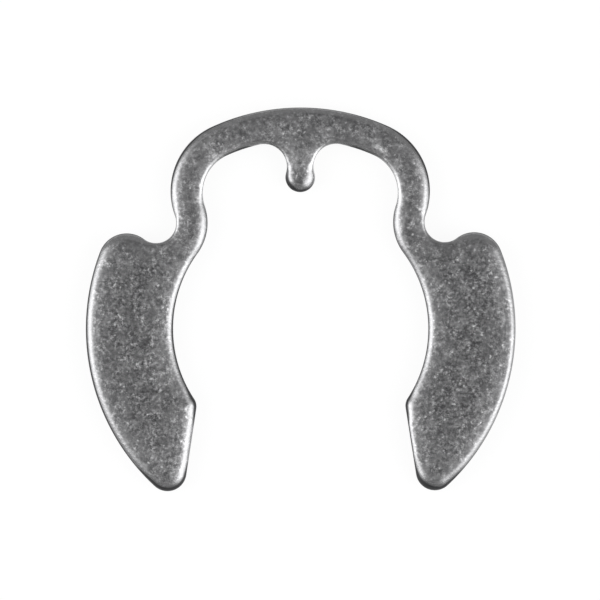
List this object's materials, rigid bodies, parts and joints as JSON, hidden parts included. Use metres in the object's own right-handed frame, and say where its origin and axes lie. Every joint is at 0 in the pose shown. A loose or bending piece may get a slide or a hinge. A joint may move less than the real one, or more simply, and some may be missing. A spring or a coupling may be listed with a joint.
{
  "type": "circlip retaining ring",
  "caption": "Flat E-shaped retaining ring that snaps sideways into a shaft groove, with a thin sprung crown, a centre prong and wide curved lobes.",
  "frame": {"origin": "centre of the round seat, half way through the thickness", "axes": "+Z along the shaft's axis, +Y from the seat towards the centre prong and the crown, so the mouth faces -Y"},
  "size_m": [0.02, 0.0178, 0.0012],
  "materials": {
    "tumbled_steel": "tumbled and lightly phosphated: matte, finely mottled grey with smooth rounded edges"
  },
  "bodies": {
    "root": {"retaining_ring": "tumbled_steel"}
  },
  "joints": []
}
